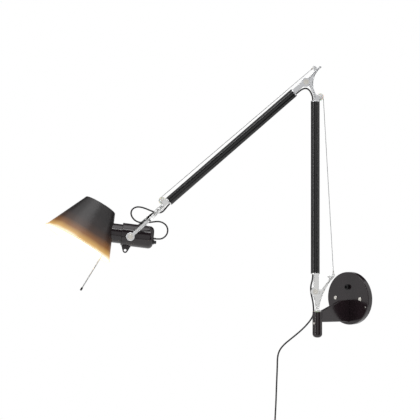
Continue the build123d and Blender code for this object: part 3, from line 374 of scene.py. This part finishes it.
# %% plug grip
plug_along = (arm_frame.to_3x3() @ coil_end_way).normalized()
plug_frame = frame_at(arm_frame @ coil_route[-1], plug_along.cross(across), plug_along)
squareness = 0.8
sleeve_start = 0.0005
rib_spacing = 0.0015
rib_radii = (0.0034, 0.0027) * 6
sleeve_sections = [(0.0, 0.0028, 0.0028)]
for index, radius in enumerate(rib_radii):
    sleeve_sections.append((sleeve_start + rib_spacing * index, radius, radius))
grip_sections = [
    (0.0182, 0.0050, 0.0042),
    (0.0196, 0.0092, 0.0052),
    (0.0225, 0.0121, 0.0063),
    (0.0270, 0.0130, 0.0068),
    (0.0310, 0.0130, 0.0068),
    (0.0320, 0.0122, 0.0061),
    (0.0330, 0.0130, 0.0068),
    (0.0350, 0.0130, 0.0068),
    (0.0360, 0.0122, 0.0061),
    (0.0370, 0.0130, 0.0068),
    (0.0390, 0.0130, 0.0068),
    (0.0400, 0.0122, 0.0061),
    (0.0410, 0.0130, 0.0068),
    (0.0500, 0.0130, 0.0068),
    (0.0514, 0.0126, 0.0064),
    (0.0520, 0.0116, 0.0056),
]


def section_place(height, half_width, half_depth):
    """The matrix that takes the unit ring to one section of the plug."""
    size = Matrix.Diagonal((half_width, half_depth, 1.0, 1.0))
    return plug_frame @ Matrix.Translation((0, 0, height)) @ size


sections = [section_place(*section) for section in sleeve_sections + grip_sections]
plug_mesh = bmesh.new()
ring = bmesh.ops.create_circle(plug_mesh, segments=48, radius=1.0)["verts"]
for corner in ring:
    corner.co.x = math.copysign(abs(corner.co.x) ** squareness, corner.co.x)
    corner.co.y = math.copysign(abs(corner.co.y) ** squareness, corner.co.y)
bmesh.ops.transform(plug_mesh, verts=ring, matrix=sections[0])
edges = list(plug_mesh.edges)
for before, after in zip(sections, sections[1:]):
    grown = bmesh.ops.extrude_edge_only(plug_mesh, edges=edges)["geom"]
    ring = [item for item in grown if isinstance(item, bmesh.types.BMVert)]
    edges = [item for item in grown if isinstance(item, bmesh.types.BMEdge)]
    bmesh.ops.transform(plug_mesh, verts=ring, matrix=after @ before.inverted())
bmesh.ops.holes_fill(plug_mesh, edges=plug_mesh.edges, sides=0)
bmesh.ops.recalc_face_normals(plug_mesh, faces=plug_mesh.faces)


def mesh_object(name, mesh):
    """Turn a bmesh into a smooth object in the scene."""
    data = bpy.data.meshes.new(name)
    mesh.to_mesh(data)
    mesh.free()
    data.shade_smooth()
    made = bpy.data.objects.new(name, data)
    scene.collection.objects.link(made)
    return made


plug_grip = mesh_object("plug_grip", plug_mesh)
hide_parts("plug_body")
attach(plug_grip, "support")
print("plug:", len(plug_grip.data.polygons), "faces in", len(sections), "sections")

# %% [markdown]
# ## Wire ropes
#
# Springs inside the tubes carry the arms' weight through two thin wire ropes.  Each rope runs from a
# hook on the joint below, straight up beside the tube, over a small wheel, and down into the tube.
# Its section has one bump for each of six strands, and turns as it goes: that is a rope's lay.
#
# Near its hook a rope spans a joint and has to stay straight when the joint turns.  So it has no
# points of its own there, and its strands, which can't turn without points, are straight too.

# %% the line of a rope
rope_radius = 0.0008
rope_lay = 0.009
rope_step = 0.0012
strand_count = 6
strand_relief = 0.16
section_corners = 18
wrap_radius = 0.0076
wrap_steps = 24
ferrule_end = 0.0097


def touch_point(point, wheel, side):
    """Where a straight rope from a point meets the wheel, in the plane of the arm."""
    away = point - wheel
    turn = Matrix.Rotation(side * math.acos(wrap_radius / away.length), 2)
    return wheel + turn @ away.normalized() * wrap_radius


def straight(start, end):
    """Evenly spaced points from one end to the other, without the last."""
    count = max(1, round((end - start).length / rope_step))
    return [start.lerp(end, i / count) for i in range(count)]


def rope_points(hook, wheel, seat):
    """The rope's line: straight to the wheel, over its top, and straight down to its seat."""
    outside = touch_point(hook, wheel, -1)
    inside = touch_point(seat, wheel, 1)
    start = hook + (outside - hook).normalized() * ferrule_end
    first = math.atan2(outside.y - wheel.y, outside.x - wheel.x) % (2 * math.pi)
    last = math.atan2(inside.y - wheel.y, inside.x - wheel.x)
    bend = [
        wheel + Vector((math.cos(angle), math.sin(angle))) * wrap_radius
        for angle in (first + (last - first) * i / wrap_steps for i in range(wrap_steps))
    ]
    return straight(start, outside) + bend + straight(inside, seat) + [seat]


lower_line = rope_points(
    hook=Vector((-0.0454, 0.0416)), wheel=Vector((-0.0124, 0.482)), seat=Vector((-0.003, 0.196)))
upper_line = rope_points(
    hook=Vector((-0.015, -0.040)), wheel=Vector((-0.0124, 0.461)), seat=Vector((-0.003, 0.191)))
print("points of the two ropes' lines:", len(lower_line), len(upper_line))

# %% [markdown]
# A curve can carry a section along a line and twist it on the way, so each rope starts as one.  It is
# turned into a mesh.

# %% make the wire ropes


def wire_rope(name, place, line):
    """A twisted section carried along a line that lies in the plane of an arm."""
    section = bpy.data.curves.new(name + "_section", "CURVE")
    outline = section.splines.new("POLY")
    outline.points.add(section_corners - 1)
    for index, point in enumerate(outline.points):
        angle = 2 * math.pi * index / section_corners
        bump = abs(math.cos(strand_count / 2 * angle))
        reach = rope_radius * (1 - strand_relief + strand_relief * bump)
        point.co = (reach * math.cos(angle), reach * math.sin(angle), 0, 1)
    outline.use_cyclic_u = True
    section_object = bpy.data.objects.new(name + "_section", section)
    curve = bpy.data.curves.new(name, "CURVE")
    curve.dimensions = "3D"
    curve.bevel_mode = "OBJECT"
    curve.bevel_object = section_object
    curve.use_fill_caps = True
    spline = curve.splines.new("POLY")
    spline.points.add(len(line) - 1)
    run = 0.0
    for index, (point, spot) in enumerate(zip(spline.points, line)):
        if index > 1:
            run += (spot - line[index - 1]).length
        point.co = (*(place @ Vector((spot.x, 0, spot.y))), 1)
        point.tilt = 2 * math.pi * run / rope_lay
    curve_object = bpy.data.objects.new(name, curve)
    scene.collection.objects.link(curve_object)
    bpy.context.view_layer.update()
    graph = bpy.context.evaluated_depsgraph_get()
    data = bpy.data.meshes.new_from_object(curve_object.evaluated_get(graph))
    bpy.data.objects.remove(curve_object)
    bpy.data.objects.remove(section_object)
    data.shade_smooth()
    rope = bpy.data.objects.new(name, data)
    scene.collection.objects.link(rope)
    print(name, "has", len(data.polygons), "faces")
    return rope


def hang_rope(name, node, place, line, free_length):
    """A rope with its first end at its hook and the rest along its arm.

    Between the two it has no points of its own, so it stays straight, as a taut rope does.
    """
    held = line[round(free_length / rope_step):]
    rope = wire_rope(name, place, line[:1] + held)
    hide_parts(node)
    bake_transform(rope)
    return rope


slot_of = {entry["node"]: entry["material_slot"] for entry in frame["record"]["subparts"]}
rope_slot = slot_of["lower_rope"]
lower_wire = hang_rope(
    "lower_wire", "lower_rope", lower_frame, lower_line, free_length=0.14)
upper_wire = hang_rope(
    "upper_wire", "upper_rope", upper_frame, upper_line, free_length=0.12)

# %% [markdown]
# ## Finishes
#
# Every finish starts from what the real surface is.  One function turns the written sRGB colours to
# the linear values that shaders use, and one adds a node with its settings and links.  Patterns are
# given in millimetres, so that each keeps its real size.

# %% helpers for finishes
MM = 1000.0  # millimetres in a metre
edge_samples = 12
patch_per_grain = 30


def linear(hex_colour):
    """The linear colour of a written one, such as "#c8c6c1"."""
    channels = [int(hex_colour[i:i + 2], 16) / 255 for i in (1, 3, 5)]
    return tuple(c / 12.92 if c <= 0.04045 else ((c + 0.055) / 1.055) ** 2.4 for c in channels) + (1.0,)


def add_node(tree, kind, inputs=(), **settings):
    """Add a node; settings are its own properties, inputs are values or links for its sockets."""
    node = tree.nodes.new(kind)
    for key, value in settings.items():
        setattr(node, key, value)
    for key, value in dict(inputs).items():
        if isinstance(value, bpy.types.NodeSocket):
            tree.links.new(value, node.inputs[key])
        else:
            node.inputs[key].default_value = value
    return node


def new_finish(name, **uniform):
    """A material with one shader, whose uniform values are set on the shader itself."""
    finish = bpy.data.materials.new(name)
    finish.use_nodes = True
    tree = finish.node_tree
    shader = next(n for n in tree.nodes if n.type == "BSDF_PRINCIPLED")
    for key, value in uniform.items():
        shader.inputs[key.replace("_", " ")].default_value = value
    place = add_node(tree, "ShaderNodeTexCoord").outputs["Object"]
    return finish, tree, shader, place


def rough_and_bump(tree, shader, place, grain_mm, low, high, height_mm, edge_mm=0.4, detail=2.0):
    """Uneven gloss in patches, a fine relief of a real grain size, and edges that look rounded.

    Returns the noises of the grain and of the patches.
    """
    grain = add_node(tree, "ShaderNodeTexNoise", {
        "Vector": place, "Scale": MM / grain_mm, "Detail": detail})
    patches = add_node(tree, "ShaderNodeTexNoise", {
        "Vector": place, "Scale": MM / (grain_mm * patch_per_grain)})
    gloss = add_node(tree, "ShaderNodeMapRange", {
        "Value": patches.outputs["Fac"], "From Min": 0.3, "From Max": 0.7,
        "To Min": low, "To Max": high})
    tree.links.new(gloss.outputs["Result"], shader.inputs["Roughness"])
    edge = add_node(tree, "ShaderNodeBevel", {"Radius": edge_mm / MM}, samples=edge_samples)
    relief = add_node(tree, "ShaderNodeBump", {
        "Height": grain.outputs["Fac"], "Distance": height_mm / MM, "Normal": edge.outputs["Normal"]})
    tree.links.new(relief.outputs["Normal"], shader.inputs["Normal"])
    return grain.outputs["Fac"], patches.outputs["Fac"]


def mix_colours(tree, share, first, second, target):
    """Send a mix of two colours to a socket; each is a link or a written colour."""
    mix = add_node(tree, "ShaderNodeMix", {"Factor": share}, data_type="RGBA")
    colours = [socket for socket in mix.inputs if socket.type == "RGBA"]
    for socket, colour in zip(colours, (first, second)):
        if isinstance(colour, bpy.types.NodeSocket):
            tree.links.new(colour, socket)
        else:
            socket.default_value = linear(colour)
    mixed = next(socket for socket in mix.outputs if socket.type == "RGBA")
    tree.links.new(mixed, target)
    return mixed


def two_tone(tree, shader, mask, dark, light, low=0.35, high=0.65):
    """The base colour wanders between two close colours."""
    ramp = add_node(tree, "ShaderNodeMapRange", {"Value": mask, "From Min": low, "From Max": high})
    return mix_colours(tree, ramp.outputs["Result"], dark, light, shader.inputs["Base Color"])


def plain_finish(name, dark, light, *surface, **uniform):
    """A finish of two close colours; surface is what rough_and_bump takes from the grain size on."""
    finish, tree, shader, place = new_finish(name, **uniform)
    _, patches = rough_and_bump(tree, shader, place, *surface)
    two_tone(tree, shader, patches, dark, light)
    return finish


finishes = {}
print("a middle grey of #808080 is", round(linear("#808080")[0], 3), "in linear light")

# %% [markdown]
# The black paints come first, because the tubes, the plate, the housing and the shade are all black
# and yet none looks like another: their gloss and grain differ more than their colour.

# %% gloss enamel and anodising
line_width_mm = 1.2
line_length_mm = 120


def gloss_black_enamel():
    """Stoved black enamel on cast aluminium: a deep, slightly brown black with a faint orange peel."""
    return plain_finish(
        "gloss_black_enamel", "#1c1418", "#261c20", 6.0, 0.13, 0.17, 0.002, 0.6, IOR=1.5)


def black_anodising(name, along):
    """Drawn and anodised tube: satin black with lines along the tube, wider than real to show."""
    finish, tree, shader, place = new_finish(name, IOR=1.5)
    turn = Vector(along).to_track_quat("Z", "Y").inverted().to_euler()
    stretch = (MM / line_width_mm, MM / line_width_mm, MM / line_length_mm)
    lines = add_node(tree, "ShaderNodeMapping", {"Vector": place, "Rotation": turn, "Scale": stretch})
    streak = add_node(tree, "ShaderNodeTexNoise", {
        "Vector": lines.outputs["Vector"], "Scale": 1.0, "Detail": 2.0})
    gloss = add_node(tree, "ShaderNodeMapRange", {
        "Value": streak.outputs["Fac"], "To Min": 0.20, "To Max": 0.23})
    tree.links.new(gloss.outputs["Result"], shader.inputs["Roughness"])
    relief = add_node(tree, "ShaderNodeBump", {
        "Height": streak.outputs["Fac"], "Distance": 0.0002 / MM})
    tree.links.new(relief.outputs["Normal"], shader.inputs["Normal"])
    two_tone(tree, shader, streak.outputs["Fac"], "#0e0e0f", "#131314")
    return finish


finishes["black_gloss_paint"] = gloss_black_enamel()
own_finish = {
    "lower_tube": black_anodising("black_anodising_lower", upright),
    "upper_tube": black_anodising("black_anodising_upper", upper_way),
}
print("made", *finishes, "and a finish for each of", *own_finish)

# %% [markdown]
# The shade is black outside and white inside.  Its two colours meet on the rim, so one mask tells the
# sides apart: outside, the surface looks away from a point on the cone's axis.  Light is painted on
# both sides: the inside is given a warm white glow as if lit by the bulb, and the outside is given a
# warm painted glow near the rim, for the bulb's light spilling over it.  The painted glow's edge
# wanders a little.

# %% the shade's paint
inner_point = 0.02
# Painted light: where the warm glow on the shade's outside starts and ends along the cone's axis.
painted_glow_start = 0.018
painted_glow_end = 0.0985
glow_wander = 0.016
glow_wander_mm = 70
painted_glow_colours = ((0.3, "#140c0a"), (0.55, "#3a2517"), (0.76, "#85582c"), (0.92, "#d6a962"))


def satin_black_paint():
    """Powder paint on spun aluminium, black outside and white inside, with painted light: a glow inside and a warm
    glow outside near the rim.
    """
    finish, tree, shader, place = new_finish("satin_black_paint", IOR=1.5, Emission_Strength=1.0)
    _, patches = rough_and_bump(tree, shader, place, 0.9, 0.36, 0.44, 0.03, 0.4, 4.0)
    black = two_tone(tree, shader, patches, "#161213", "#1d191a")
    centre = cone_frame @ Vector((0, 0, inner_point))
    axis = cone_frame.to_3x3() @ Vector((0, 0, 1))
    reach = add_node(tree, "ShaderNodeVectorMath", {0: place, 1: centre}, operation="SUBTRACT")
    facing = add_node(tree, "ShaderNodeTexCoord").outputs["Normal"]
    outward = add_node(tree, "ShaderNodeVectorMath", {0: reach.outputs["Vector"], 1: facing},
                       operation="DOT_PRODUCT")
    inside = add_node(tree, "ShaderNodeMath", {0: outward.outputs["Value"], 1: 0.0},
                      operation="LESS_THAN").outputs[0]
    along = add_node(tree, "ShaderNodeVectorMath", {0: reach.outputs["Vector"], 1: axis},
                     operation="DOT_PRODUCT").outputs["Value"]
    wander = add_node(tree, "ShaderNodeTexNoise", {"Vector": place, "Scale": MM / glow_wander_mm})
    shifted = add_node(tree, "ShaderNodeMath", {0: wander.outputs["Fac"], 1: glow_wander, 2: along},
                       operation="MULTIPLY_ADD")
    # Painted glow: its share grows towards the rim.
    painted_glow_share = add_node(tree, "ShaderNodeMapRange", {
        "Value": shifted.outputs[0], "From Min": painted_glow_start, "From Max": painted_glow_end})
    glow = add_node(tree, "ShaderNodeValToRGB", {"Fac": painted_glow_share.outputs["Result"]})
    stops = glow.color_ramp.elements
    stops[0].color = (0, 0, 0, 1)
    stops[1].color = linear("#fff0cc")
    for position, colour in painted_glow_colours:
        stops.new(position).color = linear(colour)
    mix_colours(tree, inside, black, "#f1e9d8", shader.inputs["Base Color"])
    # Painted light: the inside glows warm white as if lit by the bulb, and the outside carries the painted glow.
    mix_colours(tree, inside, glow.outputs["Color"], "#fff1d2", shader.inputs["Emission Color"])
    return finish


finishes["black_satin_shade"] = satin_black_paint()
print("the shade glows from", painted_glow_start, "to", painted_glow_end, "m along its axis")

# %% [markdown]
# Bare metals are told apart by how smooth they are and by how warm their grey is: a buffed casting is
# nearly a mirror, nickel is warm, zinc is bluish and drawn wire is dull.

# %% metals
tip_end = (0.1511, 0, 0.1041)
tip_length_mm = 9.2


def polished_casting():
    """Die-cast aluminium, buffed: a mirror with a slight ripple left by the mould."""
    return plain_finish(
        "polished_casting", "#cfd0d2", "#e2e2e1", 12.0, 0.08, 0.14, 0.16, 1.6, Metallic=1.0)


def nickel_plate():
    """Bright nickel on screws, bolts and the bulb's cap."""
    return plain_finish(
        "nickel_plate", "#c6c3bd", "#dbd8d1", 1.0, 0.10, 0.20, 0.004, 0.25, Metallic=1.0)


def black_oxide():
    """Blackened socket-head bolt: oily dark steel."""
    return plain_finish(
        "black_oxide", "#141415", "#1e1e20", 0.5, 0.30, 0.42, 0.01, 0.3, Metallic=0.6)


def turned_brass():
    """Turned brass, slightly uneven in gloss."""
    return plain_finish(
        "turned_brass", "#c49a48", "#d6b162", 0.7, 0.18, 0.30, 0.006, 0.3, Metallic=1.0)


def zinc_plate():
    """Zinc-plated sheet: pale bluish grey with faint crystals."""
    finish, tree, shader, place = new_finish("zinc_plate", Metallic=1.0)
    rough_and_bump(tree, shader, place, 1.2, 0.28, 0.42, 0.006, 0.3)
    crystal = add_node(tree, "ShaderNodeTexVoronoi", {"Vector": place, "Scale": MM / 4.0})
    two_tone(tree, shader, crystal.outputs["Distance"], "#a3a8ab", "#bcc0c1", 0.1, 0.6)
    return finish


def spring_steel():
    """Drawn spring and rope wire: grey, slightly oily, and uneven at the size of its grain."""
    finish, tree, shader, place = new_finish("spring_steel", Metallic=1.0)
    grain, _ = rough_and_bump(tree, shader, place, 0.6, 0.24, 0.36, 0.004, 0.1)
    two_tone(tree, shader, grain, "#8f9092", "#b4b5b6")
    return finish


def handle_steel():
    """Drawn steel rod with a black tip to hold it by."""
    finish, tree, shader, place = new_finish("handle_steel", Metallic=1.0)
    _, patches = rough_and_bump(tree, shader, place, 0.6, 0.34, 0.44, 0.002, 0.2)
    steel = two_tone(tree, shader, patches, "#b2b2b2", "#c4c4c4")
    tip = shade_frame @ Vector(tip_end)
    from_tip = add_node(tree, "ShaderNodeVectorMath", {0: place, 1: tip}, operation="DISTANCE")
    on_tip = add_node(tree, "ShaderNodeMath", {0: from_tip.outputs["Value"], 1: tip_length_mm / MM},
                      operation="LESS_THAN")
    mix_colours(tree, on_tip.outputs[0], steel, "#3c3c3d", shader.inputs["Base Color"])
    return finish


finishes["polished_aluminium"] = polished_casting()
finishes["bright_steel"] = nickel_plate()
finishes["bulb_metal"] = nickel_plate()
finishes["black_steel"] = black_oxide()
finishes["brass"] = turned_brass()
finishes["zinc_steel"] = zinc_plate()
finishes["spring_steel"] = spring_steel()
own_finish["handle_rod"] = handle_steel()
print("finishes so far:", len(finishes) + len(own_finish))

# %% [markdown]
# The rest doesn't conduct: nylon bushes, the lead's sheath, the plug and the switch, the lampholder's
# ceramic and the bulb's glass.

# %% plastics, ceramic and glass


def white_nylon():
    """Natural nylon: milky, with light under its skin."""
    return plain_finish(
        "white_nylon", "#dcd9cf", "#e9e7df", 0.8, 0.34, 0.46, 0.006, 0.3,
        IOR=1.53, Subsurface_Weight=0.2, Subsurface_Scale=0.003)


def pvc_sheath():
    """Extruded PVC: a soft black sheen, slightly uneven."""
    return plain_finish(
        "pvc_sheath", "#141414", "#1f1f20", 1.0, 0.34, 0.46, 0.02, 0.05, IOR=1.53)


def moulded_abs():
    """Moulded black ABS with a fine spark-eroded grain."""
    return plain_finish(
        "moulded_abs", "#121213", "#1b1b1d", 0.45, 0.36, 0.46, 0.02, 0.4, 3.0, IOR=1.53)


def glazed_ceramic():
    """White glazed ceramic."""
    return plain_finish(
        "glazed_ceramic", "#e8e4da", "#f0ede4", 3.0, 0.10, 0.18, 0.02, 0.5, IOR=1.5)


def opal_glass():
    """Lit opal glass: a white coating that glows evenly."""
    finish, tree, shader, place = new_finish(
        "opal_glass", IOR=1.5, Roughness=0.3, Emission_Color=linear("#ffe2ae"), Emission_Strength=3.0)
    coating = add_node(tree, "ShaderNodeTexNoise", {"Vector": place, "Scale": MM / 40})
    two_tone(tree, shader, coating.outputs["Fac"], "#fff4df", "#fff8ea")
    return finish


finishes["white_nylon"] = white_nylon()
finishes["black_cord"] = pvc_sheath()
finishes["black_plastic"] = moulded_abs()
finishes["white_ceramic"] = glazed_ceramic()
finishes["bulb_glass"] = opal_glass()
print("finishes in all:", len(finishes) + len(own_finish))

# %% [markdown]
# Each engineering part takes the finish that its material slot names, apart from the three that have
# one of their own, and each new piece takes the finish of what it stands for.

# %% dress the lamp


def put_finish(thing, finish):
    """Give an object one finish in its only slot."""
    thing.data.materials.clear()
    thing.data.materials.append(finish)


for part_name, slot in slot_of.items():
    put_finish(parts[part_name], own_finish.get(part_name) or finishes[slot])
for lead in (mains_lead, *soft_cords.values()):
    put_finish(lead, finishes["black_cord"])
put_finish(lower_wire, finishes[rope_slot])
put_finish(upper_wire, finishes[rope_slot])
put_finish(plug_grip, finishes["black_plastic"])
print("dressed", len(parts), "parts and", len(soft_cords) + 4, "new pieces")

# %% [markdown]
# ## Floor and light
#
# The floor is a round white table that keeps the lamp's shadow, and ends before the picture does.
# Seen directly or in a mirror it also glows a little, so that it is as white as the room.

# %% floor
floor_height = -0.62
floor_radius = 1.5
floor_glow = 0.5

floor_mesh = bmesh.new()
bmesh.ops.create_circle(floor_mesh, cap_ends=True, segments=96, radius=floor_radius)
under = arm_frame @ Vector((0.2, 0, 0))
bmesh.ops.translate(floor_mesh, verts=floor_mesh.verts, vec=(under.x, under.y, floor_height))
floor = mesh_object("floor", floor_mesh)


def light_path(tree, *kinds):
    """One where a ray is of one of the kinds, and nought elsewhere."""
    path = add_node(tree, "ShaderNodeLightPath")
    found = path.outputs[kinds[0]]
    for kind in kinds[1:]:
        found = add_node(tree, "ShaderNodeMath", {0: found, 1: path.outputs[kind]},
                         operation="MAXIMUM").outputs[0]
    return found


floor_finish = bpy.data.materials.new("pale_floor")
floor_finish.use_nodes = True
floor_tree = floor_finish.node_tree
floor_shader = next(n for n in floor_tree.nodes if n.type == "BSDF_PRINCIPLED")
floor_shader.inputs["Base Color"].default_value = linear("#f2f2f2")
floor_shader.inputs["Roughness"].default_value = 0.8
floor_shader.inputs["Emission Color"].default_value = (1, 1, 1, 1)
seen = light_path(floor_tree, "Is Camera Ray", "Is Glossy Ray", "Is Transmission Ray")
lift = add_node(floor_tree, "ShaderNodeMath", {0: seen, 1: floor_glow}, operation="MULTIPLY")
floor_tree.links.new(lift.outputs[0], floor_shader.inputs["Emission Strength"])
put_finish(floor, floor_finish)
print("floor", 2 * floor_radius, "m across, at", floor_height, "m")

# %% [markdown]
# The room is white where the camera looks, and dimmer where it only lights the lamp.  Polished metal
# needs something dark to look polished, so in reflections a dark ring lies round the way to the
# camera and another round the opposite way.  The middle of each ring, and all between them, is bright.

# %% sky
lighting_level = 0.3
ring_middle_level = 0.8
ring_levels = ((0.42, 1.0), (0.52, 0.02), (0.86, 0.02), (0.955, ring_middle_level))

world = bpy.data.worlds.new("studio")
world.use_nodes = True
scene.world = world
sky = world.node_tree
background = next(n for n in sky.nodes if n.type == "BACKGROUND")
background.inputs["Color"].default_value = (1, 1, 1, 1)
way = add_node(sky, "ShaderNodeTexCoord").outputs["Generated"]
front = add_node(sky, "ShaderNodeVectorMath", {0: way, 1: across}, operation="DOT_PRODUCT")
ahead = add_node(sky, "ShaderNodeMath", {0: front.outputs["Value"]}, operation="ABSOLUTE")
mirrored = add_node(sky, "ShaderNodeValToRGB", {"Fac": ahead.outputs[0]})
rings = mirrored.color_ramp.elements
rings[0].color = (1, 1, 1, 1)
rings[1].color = (ring_middle_level, ring_middle_level, ring_middle_level, 1)
for position, level in ring_levels:
    rings.new(position).color = (level, level, level, 1)


def mix_levels(factor, low, high):
    """A mix of two numbers, which are inputs 2 and 3 of the node."""
    return add_node(sky, "ShaderNodeMix", {0: factor, 2: low, 3: high}).outputs[0]


on_object = mix_levels(light_path(sky, "Is Glossy Ray"), lighting_level, mirrored.outputs["Color"])
sky_level = mix_levels(light_path(sky, "Is Camera Ray", "Is Transmission Ray"), on_object, 1.0)
sky.links.new(sky_level, background.inputs["Strength"])
print("sky:", len(ring_levels) + 2, "levels in reflections")

# %% [markdown]
# Four soft lamps round the arm's middle give the long highlights on the tubes and the shade.

# %% lamps


def soft_light(name, direction, distance, size, power, aim_at):
    """A rectangular studio light that looks at the lamp from a direction."""
    data = bpy.data.lights.new(name, "AREA")
    data.shape = "RECTANGLE"
    data.size, data.size_y = size
    data.energy = power
    light = bpy.data.objects.new(name, data)
    light.location = aim_at + Vector(direction).normalized() * distance
    light.rotation_mode = "QUATERNION"
    light.rotation_quaternion = (aim_at - light.location).to_track_quat("-Z", "Y")
    scene.collection.objects.link(light)


left = arm_frame.to_3x3() @ Vector((1, 0, 0))
middle = arm_frame @ Vector((0.22, 0, 0.25))
lights = (
    ("bar", across * 0.6 + left * 0.1 + upright * 0.8, 2.4, (2.8, 0.30), 20),
    ("strip", across * 0.9 + left * 1.1 + upright * 0.1, 2.4, (0.30, 2.6), 15),
    ("fill", across * 1.0 - left * 1.1 + upright * 0.3, 3.0, (0.4, 1.8), 8),
    ("top", across * 0.2 + upright * 1.0, 2.4, (1.8, 1.8), 14),
)
for name, direction, distance, size, power in lights:
    soft_light(name, direction, distance, size, power, middle)
scene.view_settings.view_transform = "Standard"
print(len(lights), "lights")
